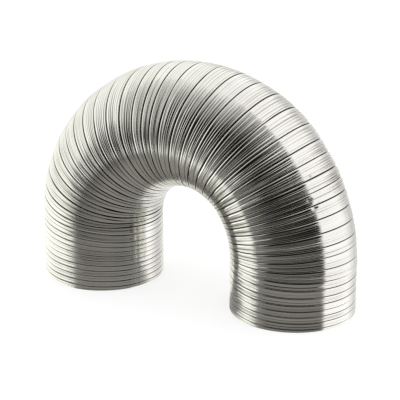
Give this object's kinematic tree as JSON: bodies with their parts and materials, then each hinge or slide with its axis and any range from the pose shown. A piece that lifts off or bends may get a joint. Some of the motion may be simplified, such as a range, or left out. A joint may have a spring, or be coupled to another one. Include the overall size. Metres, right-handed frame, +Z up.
{
  "type": "flexible air duct",
  "caption": "Semi-rigid corrugated metal air duct bent into an arch, wound strip with folded seams, open at both ends.",
  "frame": {"origin": "on the floor, midway between the two legs: the bottom centre of the bounding box", "axes": "+X from the left leg to the right leg, +Y to the back, +Z up; the duct's axis lies in the XZ plane"},
  "size_m": [0.2848, 0.104, 0.1958],
  "materials": {
    "corrugated_strip": "gloss",
    "folded_seam": "satin",
    "end_turn": "gloss"
  },
  "bodies": {
    "left_end": {"left_end_turn": "end_turn", "corrugated_web_01": "corrugated_strip"},
    "seam_01": {"lock_seam_01": "folded_seam", "corrugated_web_02": "corrugated_strip"},
    "seam_02": {"lock_seam_02": "folded_seam", "corrugated_web_03": "corrugated_strip"},
    "seam_03": {"lock_seam_03": "folded_seam", "corrugated_web_04": "corrugated_strip"},
    "seam_04": {"lock_seam_04": "folded_seam", "corrugated_web_05": "corrugated_strip"},
    "seam_05": {"lock_seam_05": "folded_seam", "corrugated_web_06": "corrugated_strip"},
    "seam_06": {"lock_seam_06": "folded_seam", "corrugated_web_07": "corrugated_strip"},
    "seam_07": {"lock_seam_07": "folded_seam", "corrugated_web_08": "corrugated_strip"},
    "seam_08": {"lock_seam_08": "folded_seam", "corrugated_web_09": "corrugated_strip"},
    "seam_09": {"lock_seam_09": "folded_seam", "corrugated_web_10": "corrugated_strip"},
    "seam_10": {"lock_seam_10": "folded_seam", "corrugated_web_11": "corrugated_strip"},
    "seam_11": {"lock_seam_11": "folded_seam", "corrugated_web_12": "corrugated_strip"},
    "seam_12": {"lock_seam_12": "folded_seam", "corrugated_web_13": "corrugated_strip"},
    "seam_13": {"lock_seam_13": "folded_seam", "corrugated_web_14": "corrugated_strip"},
    "seam_14": {"lock_seam_14": "folded_seam", "corrugated_web_15": "corrugated_strip"},
    "seam_15": {"lock_seam_15": "folded_seam", "corrugated_web_16": "corrugated_strip"},
    "seam_16": {"lock_seam_16": "folded_seam", "corrugated_web_17": "corrugated_strip"},
    "seam_17": {"lock_seam_17": "folded_seam", "corrugated_web_18": "corrugated_strip"},
    "seam_18": {"lock_seam_18": "folded_seam", "corrugated_web_19": "corrugated_strip"},
    "seam_19": {"lock_seam_19": "folded_seam", "corrugated_web_20": "corrugated_strip"},
    "seam_20": {"lock_seam_20": "folded_seam", "corrugated_web_21": "corrugated_strip"},
    "seam_21": {"lock_seam_21": "folded_seam", "corrugated_web_22": "corrugated_strip"},
    "seam_22": {"lock_seam_22": "folded_seam", "corrugated_web_23": "corrugated_strip"},
    "seam_23": {"lock_seam_23": "folded_seam", "corrugated_web_24": "corrugated_strip"},
    "seam_24": {"lock_seam_24": "folded_seam", "corrugated_web_25": "corrugated_strip"},
    "seam_25": {"lock_seam_25": "folded_seam", "corrugated_web_26": "corrugated_strip"},
    "seam_26": {"lock_seam_26": "folded_seam", "corrugated_web_27": "corrugated_strip"},
    "seam_27": {"lock_seam_27": "folded_seam", "corrugated_web_28": "corrugated_strip"},
    "seam_28": {"lock_seam_28": "folded_seam", "corrugated_web_29": "corrugated_strip"},
    "right_end": {"right_end_turn": "end_turn"}
  },
  "joints": [
    {"name": "left_leg_stretch", "type": "slide", "parent": "left_end", "child": "seam_01", "axis": [0, 0, 1], "range_m": [0, 0.027], "deforming": ["corrugated_web_01"]},
    {"name": "left_leg_stretch_02", "type": "slide", "parent": "seam_01", "child": "seam_02", "axis": [0, 0, 1], "range_m": [0, 0.027], "deforming": ["corrugated_web_02"]},
    {"name": "left_leg_stretch_03", "type": "slide", "parent": "seam_02", "child": "seam_03", "axis": [0, 0, 1], "range_m": [0, 0.027], "deforming": ["corrugated_web_03"]},
    {"name": "left_leg_stretch_04", "type": "slide", "parent": "seam_03", "child": "seam_04", "axis": [0, 0, 1], "range_m": [0, 0.027], "deforming": ["corrugated_web_04"]},
    {"name": "left_leg_stretch_05", "type": "slide", "parent": "seam_04", "child": "seam_05", "axis": [0, 0, 1], "range_m": [0, 0.027], "deforming": ["corrugated_web_05"]},
    {"name": "left_shoulder_bend", "type": "hinge", "parent": "seam_05", "child": "seam_06", "pos_m": [-0.09019, 0, 0.0617], "axis": [0, -1, 0], "range_deg": [0, 18], "deforming": ["corrugated_web_06"]},
    {"name": "left_shoulder_bend_02", "type": "hinge", "parent": "seam_06", "child": "seam_07", "pos_m": [-0.088, 0, 0.07552], "axis": [0, -1, 0], "range_deg": [0, 18], "deforming": ["corrugated_web_07"]},
    {"name": "left_shoulder_bend_03", "type": "hinge", "parent": "seam_07", "child": "seam_08", "pos_m": [-0.08368, 0, 0.08883], "axis": [0, -1, 0], "range_deg": [0, 18], "deforming": ["corrugated_web_08"]},
    {"name": "left_shoulder_bend_04", "type": "hinge", "parent": "seam_08", "child": "seam_09", "pos_m": [-0.07732, 0, 0.10131], "axis": [0, -1, 0], "range_deg": [0, 18], "deforming": ["corrugated_web_09"]},
    {"name": "left_shoulder_bend_05", "type": "hinge", "parent": "seam_09", "child": "seam_10", "pos_m": [-0.06909, 0, 0.11263], "axis": [0, -1, 0], "range_deg": [0, 18], "deforming": ["corrugated_web_10"]},
    {"name": "left_shoulder_bend_06", "type": "hinge", "parent": "seam_10", "child": "seam_11", "pos_m": [-0.0592, 0, 0.12253], "axis": [0, -1, 0], "range_deg": [0, 18], "deforming": ["corrugated_web_11"]},
    {"name": "left_shoulder_bend_07", "type": "hinge", "parent": "seam_11", "child": "seam_12", "pos_m": [-0.04787, 0, 0.13075], "axis": [0, -1, 0], "range_deg": [0, 18], "deforming": ["corrugated_web_12"]},
    {"name": "left_shoulder_bend_08", "type": "hinge", "parent": "seam_12", "child": "seam_13", "pos_m": [-0.0354, 0, 0.13711], "axis": [0, -1, 0], "range_deg": [0, 18], "deforming": ["corrugated_web_13"]},
    {"name": "left_shoulder_bend_09", "type": "hinge", "parent": "seam_13", "child": "seam_14", "pos_m": [-0.02224, 0, 0.14139], "axis": [0, -1, 0], "range_deg": [0, 18], "deforming": ["corrugated_web_14"]},
    {"name": "left_shoulder_bend_10", "type": "hinge", "parent": "seam_14", "child": "seam_15", "pos_m": [-0.00873, 0, 0.14353], "axis": [0, -1, 0], "range_deg": [0, 18], "deforming": ["corrugated_web_15"]},
    {"name": "right_shoulder_bend", "type": "hinge", "parent": "seam_15", "child": "seam_16", "pos_m": [0.00495, 0, 0.14353], "axis": [0, -1, 0], "range_deg": [0, 18], "deforming": ["corrugated_web_16"]},
    {"name": "right_shoulder_bend_02", "type": "hinge", "parent": "seam_16", "child": "seam_17", "pos_m": [0.01847, 0, 0.14139], "axis": [0, -1, 0], "range_deg": [0, 18], "deforming": ["corrugated_web_17"]},
    {"name": "right_shoulder_bend_03", "type": "hinge", "parent": "seam_17", "child": "seam_18", "pos_m": [0.03148, 0, 0.13716], "axis": [0, -1, 0], "range_deg": [0, 18], "deforming": ["corrugated_web_18"]},
    {"name": "right_shoulder_bend_04", "type": "hinge", "parent": "seam_18", "child": "seam_19", "pos_m": [0.04367, 0, 0.13095], "axis": [0, -1, 0], "range_deg": [0, 18], "deforming": ["corrugated_web_19"]},
    {"name": "right_shoulder_bend_05", "type": "hinge", "parent": "seam_19", "child": "seam_20", "pos_m": [0.05474, 0, 0.12291], "axis": [0, -1, 0], "range_deg": [0, 18], "deforming": ["corrugated_web_20"]},
    {"name": "right_shoulder_bend_06", "type": "hinge", "parent": "seam_20", "child": "seam_21", "pos_m": [0.06442, 0, 0.11323], "axis": [0, -1, 0], "range_deg": [0, 18], "deforming": ["corrugated_web_21"]},
    {"name": "right_shoulder_bend_07", "type": "hinge", "parent": "seam_21", "child": "seam_22", "pos_m": [0.07364, 0, 0.1004], "axis": [0, -1, 0], "range_deg": [0, 18], "deforming": ["corrugated_web_22"]},
    {"name": "right_shoulder_bend_08", "type": "hinge", "parent": "seam_22", "child": "seam_23", "pos_m": [0.08177, 0, 0.08443], "axis": [0, -1, 0], "range_deg": [0, 18], "deforming": ["corrugated_web_23"]},
    {"name": "right_shoulder_bend_09", "type": "hinge", "parent": "seam_23", "child": "seam_24", "pos_m": [0.08731, 0, 0.06739], "axis": [0, -1, 0], "range_deg": [0, 18], "deforming": ["corrugated_web_24"]},
    {"name": "right_shoulder_bend_10", "type": "hinge", "parent": "seam_24", "child": "seam_25", "pos_m": [0.09011, 0, 0.04969], "axis": [0, -1, 0], "range_deg": [0, 18], "deforming": ["corrugated_web_25"]},
    {"name": "right_leg_stretch", "type": "slide", "parent": "seam_25", "child": "seam_26", "axis": [0, 0, -1], "range_m": [0, 0.024], "deforming": ["corrugated_web_26"]},
    {"name": "right_leg_stretch_02", "type": "slide", "parent": "seam_26", "child": "seam_27", "axis": [0, 0, -1], "range_m": [0, 0.024], "deforming": ["corrugated_web_27"]},
    {"name": "right_leg_stretch_03", "type": "slide", "parent": "seam_27", "child": "seam_28", "axis": [0, 0, -1], "range_m": [0, 0.024], "deforming": ["corrugated_web_28"]},
    {"name": "right_leg_stretch_04", "type": "slide", "parent": "seam_28", "child": "right_end", "axis": [0, 0, -1], "range_m": [0, 0.024], "deforming": ["corrugated_web_29"]}
  ],
  "couplings": [
    {"joint": "left_leg_stretch_02", "follows": "left_leg_stretch", "ratio": 1},
    {"joint": "left_leg_stretch_03", "follows": "left_leg_stretch", "ratio": 1},
    {"joint": "left_leg_stretch_04", "follows": "left_leg_stretch", "ratio": 1},
    {"joint": "left_leg_stretch_05", "follows": "left_leg_stretch", "ratio": 1},
    {"joint": "left_shoulder_bend_02", "follows": "left_shoulder_bend", "ratio": 1},
    {"joint": "left_shoulder_bend_03", "follows": "left_shoulder_bend", "ratio": 1},
    {"joint": "left_shoulder_bend_04", "follows": "left_shoulder_bend", "ratio": 1},
    {"joint": "left_shoulder_bend_05", "follows": "left_shoulder_bend", "ratio": 1},
    {"joint": "left_shoulder_bend_06", "follows": "left_shoulder_bend", "ratio": 1},
    {"joint": "left_shoulder_bend_07", "follows": "left_shoulder_bend", "ratio": 1},
    {"joint": "left_shoulder_bend_08", "follows": "left_shoulder_bend", "ratio": 1},
    {"joint": "left_shoulder_bend_09", "follows": "left_shoulder_bend", "ratio": 1},
    {"joint": "left_shoulder_bend_10", "follows": "left_shoulder_bend", "ratio": 1},
    {"joint": "right_shoulder_bend_02", "follows": "right_shoulder_bend", "ratio": 1},
    {"joint": "right_shoulder_bend_03", "follows": "right_shoulder_bend", "ratio": 1},
    {"joint": "right_shoulder_bend_04", "follows": "right_shoulder_bend", "ratio": 1},
    {"joint": "right_shoulder_bend_05", "follows": "right_shoulder_bend", "ratio": 1},
    {"joint": "right_shoulder_bend_06", "follows": "right_shoulder_bend", "ratio": 1},
    {"joint": "right_shoulder_bend_07", "follows": "right_shoulder_bend", "ratio": 1},
    {"joint": "right_shoulder_bend_08", "follows": "right_shoulder_bend", "ratio": 1},
    {"joint": "right_shoulder_bend_09", "follows": "right_shoulder_bend", "ratio": 1},
    {"joint": "right_shoulder_bend_10", "follows": "right_shoulder_bend", "ratio": 1},
    {"joint": "right_leg_stretch_02", "follows": "right_leg_stretch", "ratio": 1},
    {"joint": "right_leg_stretch_03", "follows": "right_leg_stretch", "ratio": 1},
    {"joint": "right_leg_stretch_04", "follows": "right_leg_stretch", "ratio": 1}
  ]
}
